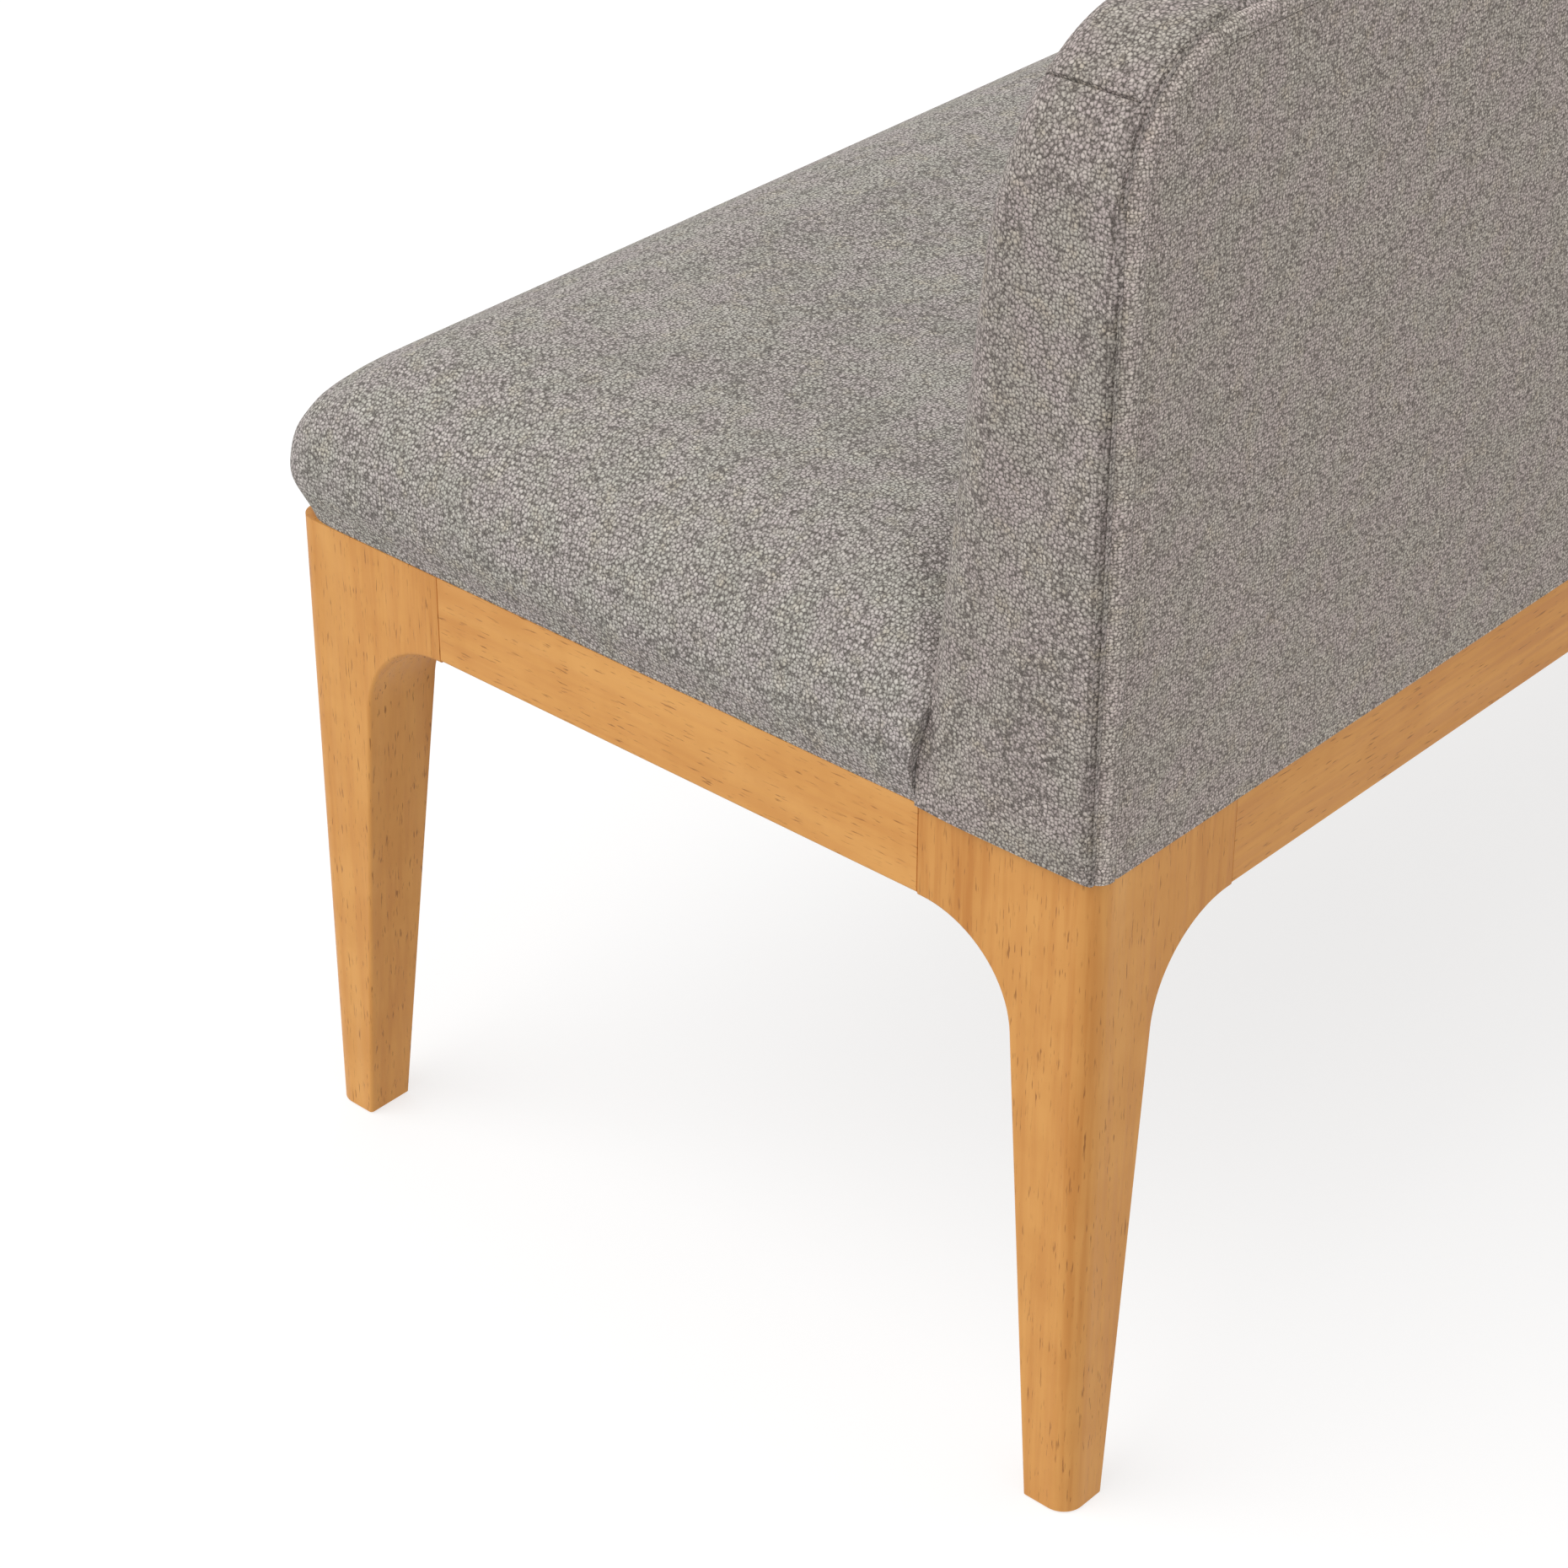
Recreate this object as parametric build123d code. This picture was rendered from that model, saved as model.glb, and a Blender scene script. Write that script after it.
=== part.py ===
from build123d import *
import os
from math import cos, radians, sin, sqrt

# An upholstered dining banquette: a wooden base on four legs, a padded seat and a padded back.
# X runs along the length, the front faces -Y, Z is up. The origin is on the floor under the
# middle of the whole object. All sizes are in millimetres.

# Base frame
frame_length = 1400.0
frame_depth = 536.0
rail_top = 380.0
rail_height = 50.0
rail_thickness = 28.0
leg_top_width = 48.0
leg_foot_width = 28.5
leg_corner_radius = 12.0
knee_radius = 56.0
knee_flat = 2.0
knee_drop = 1.0
edge_ease = 2.0
joint_line_width = 0.35
joint_line_depth = 1.0
cross_rail_spacing = 460.0
cross_rail_thickness = 25.0
cross_rail_height = 42.0

# Feet
glide_diameter = 18.0
glide_thickness = 4.0
glide_proud = 1.0

# Dowels
frame_dowel_diameter = 10.0
frame_dowel_length = 50.0
frame_dowel_spacing = 24.0
panel_dowel_diameter = 8.0
panel_dowel_length = 50.0
panel_dowel_spacing = 28.0
dowel_clearance = 0.1

# Seat frame and its filling
seat_frame_setback = 8.0
seat_frame_thickness = 25.0
seat_frame_width = 60.0
webbing_width = 60.0
webbing_thickness = 2.0
webbing_pitch = 95.0
webbing_lap = 45.0
wadding_thickness = 5.0
cloth_thickness = 2.0
soft_clearance = 0.3
cover_turn_under = 25.0
dust_cover_thickness = 0.8
dust_cover_gap = 1.0
staple_crown = 10.0
staple_wire = 1.2
staple_proud = 0.6
staple_pitch = 80.0
staple_margin = 6.0

# Seat cushion form
seat_thickness = 101.0
seat_tuck = 1.0
seat_bulge_height = 24.0
seat_front_bulge = 10.0
seat_end_bulge = 8.0
seat_shoulder_reach = 120.0
seat_rear_reach = 80.0
seat_shoulder_power = 2.5
seat_front_corner = 22.0
seat_rear_corner = 6.0
seat_corner_growth = 0.35
seat_to_back_gap = 0.5
foam_skirt_gap = 12.0

# Steel brackets that hold the seat down
bracket_leg = 30.0
bracket_width = 25.0
bracket_steel = 2.0
bracket_screw_offset = 18.0
bracket_end_margin = 60.0
bracket_end_spacing = 110.0
screw_diameter = 4.5
screw_length = 18.0
screw_head_diameter = 8.5
screw_head_height = 2.2
screw_clearance = 0.1

# Back form
back_height = 400.0
back_proud = 2.0
back_depth = 102.5
back_depth_level = 200.0
back_base_depth = 107.0
back_base_height = 45.0
back_base_run_out = 55.0
back_base_bulge = 10.0
back_square_height = 22.0
back_square_run_out = 68.0
back_lean = 7.0
back_corner_radius = 72.0
back_rear_edge_radius = 12.0
back_seam_turn = 40.0
back_corner_loss = 0.3
back_end_reach = 97.0
back_top_reach = 178.0
back_edge_depth = 49.0
back_edge_power = 5.0
back_top_power = 2.4

# Back frame
back_frame_cover = 14.0
back_board_width = 60.0
back_post_width = 60.0
back_post_thickness = 26.0
back_post_margin = 34.0
back_post_side_gap = 3.0
back_post_drop = 46.0
back_board_thickness = 4.0
long_screw_length = 45.0
long_screw_spacing = 30.0
bolt_diameter = 8.0
bolt_head_diameter = 14.0
bolt_head_height = 5.0
bolt_reach = 16.0
bolt_spacing = 22.0
washer_diameter = 18.0
washer_thickness = 1.6
insert_diameter = 12.0
insert_length = 18.0
bolt_clearance = 0.1

# Derived places
rail_bottom = rail_top - rail_height
seat_top = rail_top + seat_thickness
back_top = rail_top + back_height
half_length = frame_length / 2
rear_face = (frame_depth + seat_front_bulge - cloth_thickness) / 2
front_face = rear_face - frame_depth
knee_under = rail_bottom - knee_drop
knee_centre_height = knee_under - knee_radius
leg_slope = (leg_top_width - leg_foot_width) / (knee_centre_height - glide_proud)
knee_centre_reach = leg_top_width + knee_radius * sqrt(1 + leg_slope**2)
leg_reach = knee_centre_reach + knee_flat
seat_rear_face = rear_face - back_base_depth - seat_to_back_gap
seat_frame_bottom = rail_top + cloth_thickness
seat_frame_top = seat_frame_bottom + seat_frame_thickness
seat_filling_base = seat_frame_top + webbing_thickness
seat_frame_x = half_length - seat_frame_setback
seat_frame_front_y = front_face + seat_frame_setback
seat_frame_rear_y = seat_rear_face - seat_frame_setback
cross_rail_x = cross_rail_spacing / 2
post_front = rear_face - rail_thickness - back_post_thickness
back_pad_rear = post_front - back_board_thickness
back_seam_y = rear_face + cloth_thickness - back_rear_edge_radius * (1 - sin(radians(back_seam_turn)))


def block(x_range, y_range, z_range):
    """A box between two limits along each axis."""
    x_low, x_high = min(x_range), max(x_range)
    y_low, y_high = min(y_range), max(y_range)
    z_low, z_high = min(z_range), max(z_range)
    solid = Box(x_high - x_low, y_high - y_low, z_high - z_low)
    return Pos((x_low + x_high) / 2, (y_low + y_high) / 2, (z_low + z_high) / 2) * solid


def rod(start, direction, radius, length):
    """A round rod from its start point along a direction."""
    return Plane(origin=start, z_dir=direction) * Cylinder(
        radius, length, align=(Align.CENTER, Align.CENTER, Align.MIN)
    )


def group(solids):
    """Like pieces kept together as separate solids."""
    return Compound(children=list(solids))


# Legs: one block each, with a knee that spreads to both rails and a foot that tapers inwards
def knee_outline():
    """The leg seen square on to one outer face: reach from the outer corner against height."""
    lean = sqrt(1 + leg_slope**2)
    taper_end = (
        knee_centre_reach - knee_radius / lean,
        knee_centre_height + knee_radius * leg_slope / lean,
    )
    arch_middle = (
        knee_centre_reach - knee_radius * sqrt(0.5),
        knee_centre_height + knee_radius * sqrt(0.5),
    )
    arch_top = (knee_centre_reach, knee_under)
    outline = Polyline((0, rail_top), (0, glide_proud), (leg_foot_width, glide_proud), taper_end)
    outline += ThreePointArc(taper_end, arch_middle, arch_top)
    outline += Polyline(arch_top, (leg_reach, knee_under), (leg_reach, rail_top), (0, rail_top))
    return make_face(outline), taper_end


def leg():
    """A leg with its outer corner on the Z axis, spreading along +X and +Y."""
    knee_face, (post_width, post_height) = knee_outline()
    post_face = make_face(
        Polyline(
            (0, rail_top),
            (0, glide_proud),
            (leg_foot_width, glide_proud),
            (post_width, post_height),
            (post_width, rail_top),
            (0, rail_top),
        )
    )
    side_on_x = Plane(origin=(0, 0, 0), x_dir=(1, 0, 0), z_dir=(0, -1, 0))
    side_on_y = Plane(origin=(0, 0, 0), x_dir=(0, 1, 0), z_dir=(1, 0, 0))
    knee_on_x = extrude(side_on_x * knee_face, amount=-leg_reach)
    knee_on_y = extrude(side_on_y * knee_face, amount=leg_reach)
    post_on_x = extrude(side_on_x * post_face, amount=-leg_reach)
    post_on_y = extrude(side_on_y * post_face, amount=leg_reach)
    solid = (knee_on_x & post_on_y) + (knee_on_y & post_on_x)
    outer_corner = solid.edges().filter_by(Axis.Z).sort_by_distance((0, 0, rail_top))[0]
    solid = fillet(outer_corner, leg_corner_radius)
    arrises = [edge for edge in solid.edges() if is_knee_arris(edge)]
    solid = fillet(arrises, edge_ease)
    for end_face in (solid.faces().sort_by(Axis.X)[-1], solid.faces().sort_by(Axis.Y)[-1]):
        solid = ease_joint(solid, end_face)
    foot_middle = (leg_foot_width / 2, leg_foot_width / 2, glide_proud)
    seat_radius = glide_diameter / 2 + dowel_clearance
    return solid - rod(foot_middle, (0, 0, 1), seat_radius, glide_thickness - glide_proud)


def is_knee_arris(edge):
    """The long edges of the taper and the arch on the two outer faces."""
    near = 0.01
    middle = edge.position_at(0.5)
    on_outer_face = abs(middle.X) < near or abs(middle.Y) < near
    reach = max(middle.X, middle.Y)
    below_rail = glide_proud + near < middle.Z < rail_bottom
    return on_outer_face and below_rail and reach > leg_foot_width / 2


def ease_joint(solid, end_face):
    """A narrow chamfer round an end that meets another piece, so that the joint shows as a thin line."""
    return chamfer(end_face.edges(), joint_line_depth, joint_line_width, reference=end_face)


def place_leg(solid, side_x, side_y):
    """Turn the leg's outward corner to one of the four corners of the frame."""
    if side_x > 0:
        solid = mirror(solid, about=Plane.YZ)
    if side_y > 0:
        solid = mirror(solid, about=Plane.XZ)
    corner_y = rear_face if side_y > 0 else front_face
    return Pos(side_x * half_length, corner_y, 0) * solid


# Rails: straight boards between the knees, flush with the outer faces
def rail_along_x(outer_y, inward):
    reach = half_length - leg_reach
    inner_y = outer_y + inward * rail_thickness
    board = block((-reach, reach), (outer_y, inner_y), (rail_bottom, rail_top))
    lower_edges = board.edges().filter_by(Axis.X).group_by(Axis.Z)[0]
    board = fillet(lower_edges, edge_ease)
    board = ease_joint(board, board.faces().sort_by(Axis.X)[0])
    return ease_joint(board, board.faces().sort_by(Axis.X)[-1])


def rail_along_y(outer_x, inward):
    board = block(
        (outer_x, outer_x + inward * rail_thickness),
        (front_face + leg_reach, rear_face - leg_reach),
        (rail_bottom, rail_top),
    )
    lower_edges = board.edges().filter_by(Axis.Y).group_by(Axis.Z)[0]
    board = fillet(lower_edges, edge_ease)
    board = ease_joint(board, board.faces().sort_by(Axis.Y)[0])
    return ease_joint(board, board.faces().sort_by(Axis.Y)[-1])


def cross_rail(side):
    middle = side * cross_rail_x
    return block(
        (middle - cross_rail_thickness / 2, middle + cross_rail_thickness / 2),
        (front_face + rail_thickness, rear_face - rail_thickness),
        (rail_top - cross_rail_height, rail_top),
    )


def dowel_sites(joint_points, direction, diameter, length, spacing, spread):
    """A pair of dowels across each joint: their starts, direction and size."""
    along = Vector(*direction)
    sites = []
    for point in joint_points:
        for sign in (-1, 1):
            centre = Vector(*point) + Vector(*spread) * (sign * spacing / 2)
            sites.append((centre - along * (length / 2), direction, diameter / 2, length))
    return sites


def dowels(sites):
    return [rod(*site) for site in sites]


def dowel_holes(sites):
    return [
        rod(start, direction, radius + dowel_clearance, length)
        for start, direction, radius, length in sites
    ]


def cut(solid, tools):
    """Take away every tool from a solid."""
    return solid - list(tools)


def frame_dowel_sites():
    joint_height = rail_top - rail_height / 2
    inset = rail_thickness / 2
    knee_end = half_length - leg_reach
    long_joints = [
        (side * knee_end, y, joint_height)
        for side in (-1, 1)
        for y in (front_face + inset, rear_face - inset)
    ]
    end_joints = [
        (side * (half_length - inset), y, joint_height)
        for side in (-1, 1)
        for y in (front_face + leg_reach, rear_face - leg_reach)
    ]
    cross_joints = [
        (side * cross_rail_x, y, rail_top - cross_rail_height / 2)
        for side in (-1, 1)
        for y in (front_face + rail_thickness, rear_face - rail_thickness)
    ]
    size = (frame_dowel_diameter, frame_dowel_length, frame_dowel_spacing, (0, 0, 1))
    cross_size = (frame_dowel_diameter, rail_thickness, frame_dowel_spacing, (0, 0, 1))
    return (
        dowel_sites(long_joints, (1, 0, 0), *size)
        + dowel_sites(end_joints, (0, 1, 0), *size)
        + dowel_sites(cross_joints, (0, 1, 0), *cross_size)
    )


# Seat frame: a flat frame of boards under the cushion
def seat_frame_board(x_range, y_range):
    return block(x_range, y_range, (seat_frame_bottom, seat_frame_top))


def round_front_corners(board):
    return fillet(board.edges().filter_by(Axis.Z).group_by(Axis.Y)[0], seat_front_corner)


def seat_frame_boards():
    inner_front = seat_frame_front_y + seat_frame_width
    inner_rear = seat_frame_rear_y - seat_frame_width
    boards = {
        "seat_frame_front": round_front_corners(
            seat_frame_board((-seat_frame_x, seat_frame_x), (seat_frame_front_y, inner_front))
        ),
        "seat_frame_rear": seat_frame_board(
            (-seat_frame_x, seat_frame_x), (inner_rear, seat_frame_rear_y)
        ),
    }
    for name, side in (("left", -1), ("right", 1)):
        outer = side * seat_frame_x
        boards["seat_frame_end_" + name] = seat_frame_board(
            (outer, outer - side * seat_frame_width), (inner_front, inner_rear)
        )
        middle = side * cross_rail_x
        boards["seat_frame_middle_" + name] = seat_frame_board(
            (middle - seat_frame_width / 2, middle + seat_frame_width / 2), (inner_front, inner_rear)
        )
    return boards


def seat_frame_dowel_sites():
    height = (seat_frame_bottom + seat_frame_top) / 2
    end_middle = seat_frame_x - seat_frame_width / 2
    joints = [
        (x, y, height)
        for x in (-end_middle, -cross_rail_x, cross_rail_x, end_middle)
        for y in (seat_frame_front_y + seat_frame_width, seat_frame_rear_y - seat_frame_width)
    ]
    return dowel_sites(
        joints, (0, 1, 0), panel_dowel_diameter, panel_dowel_length, panel_dowel_spacing, (1, 0, 0)
    )


def seat_webbing():
    """Elastic bands stretched from the front board to the rear board, side by side."""
    y_range = (
        seat_frame_front_y + seat_frame_width - webbing_lap,
        seat_frame_rear_y - seat_frame_width + webbing_lap,
    )
    room = 2 * (seat_frame_x - seat_frame_width) - webbing_width
    steps = int(room // webbing_pitch)
    return [
        block(
            (middle - webbing_width / 2, middle + webbing_width / 2),
            y_range,
            (seat_frame_top, seat_filling_base),
        )
        for middle in [(step - steps / 2) * webbing_pitch for step in range(steps + 1)]
    ]


def shoulder_steps(power, angles=(0, 20, 40, 60, 75, 90)):
    """Steps over a padded edge, from its side to its crown: share of the reach, share of the rise."""
    turns = [radians(angle) for angle in angles]
    return [(1 - cos(turn) ** (2 / power), sin(turn) ** (2 / power)) for turn in turns]


# Seat cushion: tucked in at the wood, bulging above it, a round shoulder and a low crown
def seat_section(height, front, end, rear, front_corner, rear_corner):
    x = half_length + end
    y_front = front_face - front
    y_rear = seat_rear_face - rear
    face = make_face(Polyline((-x, y_front), (x, y_front), (x, y_rear), (-x, y_rear), (-x, y_front)))
    face = fillet(face.vertices().group_by(Axis.Y)[0], front_corner)
    face = fillet(face.vertices().group_by(Axis.Y)[-1], rear_corner)
    return Pos(0, 0, height) * face


def seat_form(inset, base):
    """The cushion's outer form drawn in by an inset, with its underside at a base height."""
    top = seat_top - inset
    stretch = (top - base) / seat_thickness
    shoulder_rise = seat_thickness - seat_bulge_height
    drawn_in = [(0.0, -seat_tuck - seat_front_bulge, -seat_tuck - seat_end_bulge, 0.0, 0.0)]
    for across, up in shoulder_steps(seat_shoulder_power):
        inward = seat_shoulder_reach * across
        drawn_in.append(
            (seat_bulge_height + shoulder_rise * up, -inward, -inward, seat_rear_reach * across, inward)
        )
    sections = []
    for rise, front, end, rear, inward in drawn_in:
        sections.append(
            seat_section(
                base + rise * stretch,
                seat_front_bulge + front - inset,
                seat_end_bulge + end - inset,
                rear + inset,
                seat_front_corner + inward * seat_corner_growth - inset,
                max(seat_rear_corner + rear * seat_corner_growth - inset, edge_ease),
            )
        )
    return loft(sections)


def seat_cover():
    shell = seat_form(0, rail_top) - seat_form(cloth_thickness, seat_frame_bottom)
    turn_under = seat_tuck + cover_turn_under
    opening = block(
        (-half_length + turn_under, half_length - turn_under),
        (front_face + turn_under, seat_rear_face - cover_turn_under),
        (rail_top, seat_frame_bottom),
    )
    return shell - opening


def seat_wadding():
    outer = seat_form(cloth_thickness + soft_clearance, seat_frame_bottom)
    inner = seat_form(cloth_thickness + soft_clearance + wadding_thickness, seat_frame_bottom)
    frame_room = block(
        (-seat_frame_x, seat_frame_x),
        (seat_frame_front_y, seat_frame_rear_y),
        (seat_frame_bottom, seat_filling_base),
    )
    return outer - inner - frame_room


def seat_foam():
    solid = seat_form(cloth_thickness + wadding_thickness + 2 * soft_clearance, seat_frame_bottom)
    frame_room = block(
        (-seat_frame_x, seat_frame_x),
        (seat_frame_front_y, seat_frame_rear_y),
        (seat_frame_bottom, seat_filling_base),
    )
    skirt_room = block(
        (-frame_length, frame_length),
        (-frame_depth, frame_depth),
        (seat_frame_bottom, seat_frame_bottom + foam_skirt_gap),
    )
    return solid - frame_room - skirt_room


def dust_cover_limits():
    edge = seat_tuck + cover_turn_under + dust_cover_gap
    x = half_length - edge
    return x, front_face + edge, seat_rear_face - cover_turn_under - dust_cover_gap


def dust_cover():
    x, y_front, y_rear = dust_cover_limits()
    z_range = (seat_frame_bottom - dust_cover_thickness, seat_frame_bottom)
    return block((-x, x), (y_front, y_rear), z_range)


def dust_cover_staples():
    """Staple crowns that lie along the four edges of the dust cover."""
    x, y_front, y_rear = dust_cover_limits()
    z_range = (
        seat_frame_bottom - dust_cover_thickness - staple_proud,
        seat_frame_bottom - dust_cover_thickness,
    )
    half_crown = staple_crown / 2
    half_wire = staple_wire / 2
    long_steps = int((2 * x - 2 * staple_margin - staple_crown) // staple_pitch)
    short_steps = int((y_rear - y_front - 4 * staple_margin - staple_crown) // staple_pitch)
    staples = []
    for step in range(long_steps + 1):
        place = (step - long_steps / 2) * staple_pitch
        for y in (y_front + staple_margin, y_rear - staple_margin):
            staples.append(
                block((place - half_crown, place + half_crown), (y - half_wire, y + half_wire), z_range)
            )
    for step in range(short_steps + 1):
        place = (y_front + y_rear) / 2 + (step - short_steps / 2) * staple_pitch
        for side in (-1, 1):
            edge = side * (x - staple_margin)
            y_range = (place - half_crown, place + half_crown)
            staples.append(block((edge - half_wire, edge + half_wire), y_range, z_range))
    return staples


# Steel brackets: the upright leg is screwed to a rail, the flat leg to the seat frame
def bracket_sites():
    """Each bracket's corner on a rail's face, and the direction that leads away from the rail."""
    height = seat_frame_bottom - dust_cover_thickness - staple_proud
    front_x = half_length - leg_reach - bracket_end_margin
    end_middle = (front_face + leg_reach + seat_rear_face) / 2
    rear_y = seat_frame_rear_y - seat_frame_width / 2
    sites = [((x, front_face + rail_thickness, height), (0, 1, 0)) for x in (-front_x, 0, front_x)]
    for side in (-1, 1):
        for sign in (-1, 1):
            y = end_middle + sign * bracket_end_spacing / 2
            sites.append(((side * (half_length - rail_thickness), y, height), (-side, 0, 0)))
        outer_face = side * (cross_rail_x + cross_rail_thickness / 2)
        sites.append(((outer_face, rear_y, height), (side, 0, 0)))
    return sites


def bracket_plane(corner, away):
    return Plane(origin=corner, x_dir=away, z_dir=(0, 0, 1))


def bracket(corner, away):
    half_width = bracket_width / 2
    flat_leg = block((0, bracket_leg), (-half_width, half_width), (-bracket_steel, 0))
    upright_leg = block((0, bracket_steel), (-half_width, half_width), (-bracket_leg, 0))
    hole_radius = screw_diameter / 2 + screw_clearance
    flat_hole = rod((bracket_screw_offset, 0, -bracket_steel), (0, 0, 1), hole_radius, bracket_steel)
    upright_hole = rod((0, 0, -bracket_screw_offset), (1, 0, 0), hole_radius, bracket_steel)
    return bracket_plane(corner, away) * (flat_leg + upright_leg - flat_hole - upright_hole)


def bracket_screw_places(corner, away):
    """The seats of the two screw heads on a bracket, with the direction each screw is driven."""
    plane = bracket_plane(corner, away)
    up_seat = plane.from_local_coords(Vector(bracket_screw_offset, 0, -bracket_steel))
    rail_seat = plane.from_local_coords(Vector(bracket_steel, 0, -bracket_screw_offset))
    return [(up_seat, Vector(0, 0, 1)), (rail_seat, -Vector(*away))]


def screw(seat, direction, length):
    """A round-head wood screw: the head stands behind its seat, the shank goes ahead of it."""
    head_top = seat - direction * screw_head_height
    head = rod(head_top, direction, screw_head_diameter / 2, screw_head_height)
    return head + rod(seat, direction, screw_diameter / 2, length)


def screw_hole(seat, direction, length):
    return rod(seat, direction, screw_diameter / 2 + screw_clearance, length)


# Back: a padded slab, flat behind, with rounded edges in front, a lean and a drawn-in foot
def back_section(depth, lean, end_in, top_in, corner, inset, base):
    """One cross-section of the back, on a plane that leans with the front face. Its foot stays square."""
    tilt = radians(lean)
    level = rail_top + back_depth_level
    plane = Plane(
        origin=(0, rear_face - depth, level),
        x_dir=(1, 0, 0),
        z_dir=(0, -cos(tilt), sin(tilt)),
    )
    foot_x = half_length + back_proud - inset
    x = foot_x - end_in
    low = (base - level) / cos(tilt)
    square = (rail_top + back_square_height - level) / cos(tilt)
    run_out = (rail_top + back_square_run_out - level) / cos(tilt)
    high = (back_top - top_in - inset - level) / cos(tilt)
    side = [(foot_x, low), (foot_x, square), (x, run_out), (x, high)]
    other_side = [(-across, up) for across, up in reversed(side)]
    face = make_face(Polyline(*side, *other_side, side[0]))
    face = fillet(face.vertices().group_by(Axis.Y)[-1], corner)
    return plane * face


def back_form(inset, base):
    """The back's outer form drawn in by an inset, with its underside at a base height."""
    side_depth = back_depth - back_edge_depth
    rear_run = cloth_thickness - inset
    outline = back_section(-rear_run, 0, 0, 0, back_corner_radius - inset, inset, base)
    slab = extrude(outline, amount=side_depth + rear_run)
    rear_edges = slab.faces().sort_by(Axis.Y)[-1].edges().sort_by(Axis.Z)[1:]
    slab = fillet(rear_edges, back_rear_edge_radius - inset)
    sections = []
    for across, up in shoulder_steps(back_edge_power, (0, 6, 20, 40, 60, 75, 90)):
        end_in = back_end_reach * across
        top_in = back_top_reach * (1 - (1 - up**back_top_power) ** (1 / back_top_power))
        corner = back_corner_radius - inset - end_in * back_corner_loss
        depth = side_depth + (back_edge_depth - inset) * up
        sections.append(back_section(depth, back_lean * up, end_in, top_in, corner, inset, base))
    return slab + loft(sections) - back_foot_room(inset)


def back_foot_room(inset):
    """The space in front of the back's foot, where the seat is pressed against it."""
    depth = back_base_depth - inset
    corner_height = rail_top + back_base_height
    bulge_height = corner_height + back_base_run_out
    far = rear_face - 2 * back_depth
    outline = Polyline(
        (rear_face - depth, 0),
        (rear_face - depth, corner_height),
        (rear_face - depth - back_base_bulge, bulge_height),
        (far, bulge_height),
        (far, 0),
        (rear_face - depth, 0),
    )
    face = Plane.YZ * make_face(outline)
    return extrude(face, amount=frame_length, both=True)


def back_outline(inset, low):
    """The back seen from behind, drawn in by an inset, as a face on the rear plane."""
    return back_section(0, 0, 0, 0, back_corner_radius - inset, inset, low)


def back_shell():
    """The cloth all round the back, open underneath where the back frame stands on the rail."""
    shell = back_form(0, rail_top) - back_form(cloth_thickness, rail_top + cloth_thickness)
    end_wall = half_length + back_proud - cloth_thickness
    frame_room = block(
        (-end_wall, end_wall), (back_pad_rear, rear_face), (rail_top, rail_top + cloth_thickness)
    )
    return shell - frame_room


def behind_seam():
    """The space behind the seam that joins the cover to the outside panel."""
    return block((-frame_length, frame_length), (back_seam_y, frame_depth), (0, 2 * back_top))


def back_cover():
    return back_shell() - behind_seam()


def outside_back_panel():
    """The rear cloth, turned over the rounded rear edges as far as the seam part way round them."""
    return back_shell() & behind_seam()


def back_pad():
    """The space inside the cover that the foam of the back may fill."""
    inset = cloth_thickness + 2 * soft_clearance
    return back_form(inset, rail_top + cloth_thickness + soft_clearance)


def back_foam():
    front_room = block(
        (-frame_length, frame_length), (back_pad_rear, -frame_depth), (0, 2 * back_top)
    )
    return back_pad() & front_room


def back_edge_foam():
    """The strip of foam wrapped round the ends and the top of the back frame."""
    rear_room = block((-frame_length, frame_length), (back_pad_rear, rear_face), (0, 2 * back_top))
    frame_room = extrude(back_outline(back_frame_cover, 0), amount=back_depth)
    return (back_pad() & rear_room) - frame_room


def back_frame_edge():
    return half_length + back_proud - back_frame_cover


def back_frame_boards():
    """The flat frame of the back: two end stiles with a rounded top corner, two rails between."""
    frame_plate = extrude(back_outline(back_frame_cover, rail_top), amount=rail_thickness)
    edge = back_frame_edge()
    inner = edge - back_board_width
    y_range = (rear_face - rail_thickness, rear_face)
    top = back_top - back_frame_cover
    boards = {
        "back_bottom_rail": block((-inner, inner), y_range, (rail_top, rail_top + back_board_width)),
        "back_top_rail": frame_plate & block((-inner, inner), y_range, (top - back_board_width, top)),
    }
    for name, side in (("left", -1), ("right", 1)):
        stile_room = block((side * inner, side * edge), y_range, (rail_top, top))
        boards["back_stile_" + name] = frame_plate & stile_room
    return boards


def back_frame_dowel_sites():
    inner = back_frame_edge() - back_board_width
    y = rear_face - rail_thickness / 2
    top = back_top - back_frame_cover
    heights = (rail_top + back_board_width / 2, top - back_board_width / 2)
    joints = [(side * inner, y, height) for side in (-1, 1) for height in heights]
    return dowel_sites(
        joints, (1, 0, 0), panel_dowel_diameter, panel_dowel_length, panel_dowel_spacing, (0, 0, 1)
    )


# Posts: they carry the back, and run down inside the rear rail where they are bolted to it
def post_places():
    end_x = half_length - leg_reach - back_post_margin - back_post_width / 2
    middle_x = cross_rail_x + cross_rail_thickness / 2 + back_post_side_gap + back_post_width / 2
    return {
        "back_post_end_left": -end_x,
        "back_post_middle_left": -middle_x,
        "back_post_middle_right": middle_x,
        "back_post_end_right": end_x,
    }


def post(x):
    return block(
        (x - back_post_width / 2, x + back_post_width / 2),
        (post_front, rear_face - rail_thickness),
        (rail_top - back_post_drop, back_top - back_frame_cover),
    )


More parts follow.
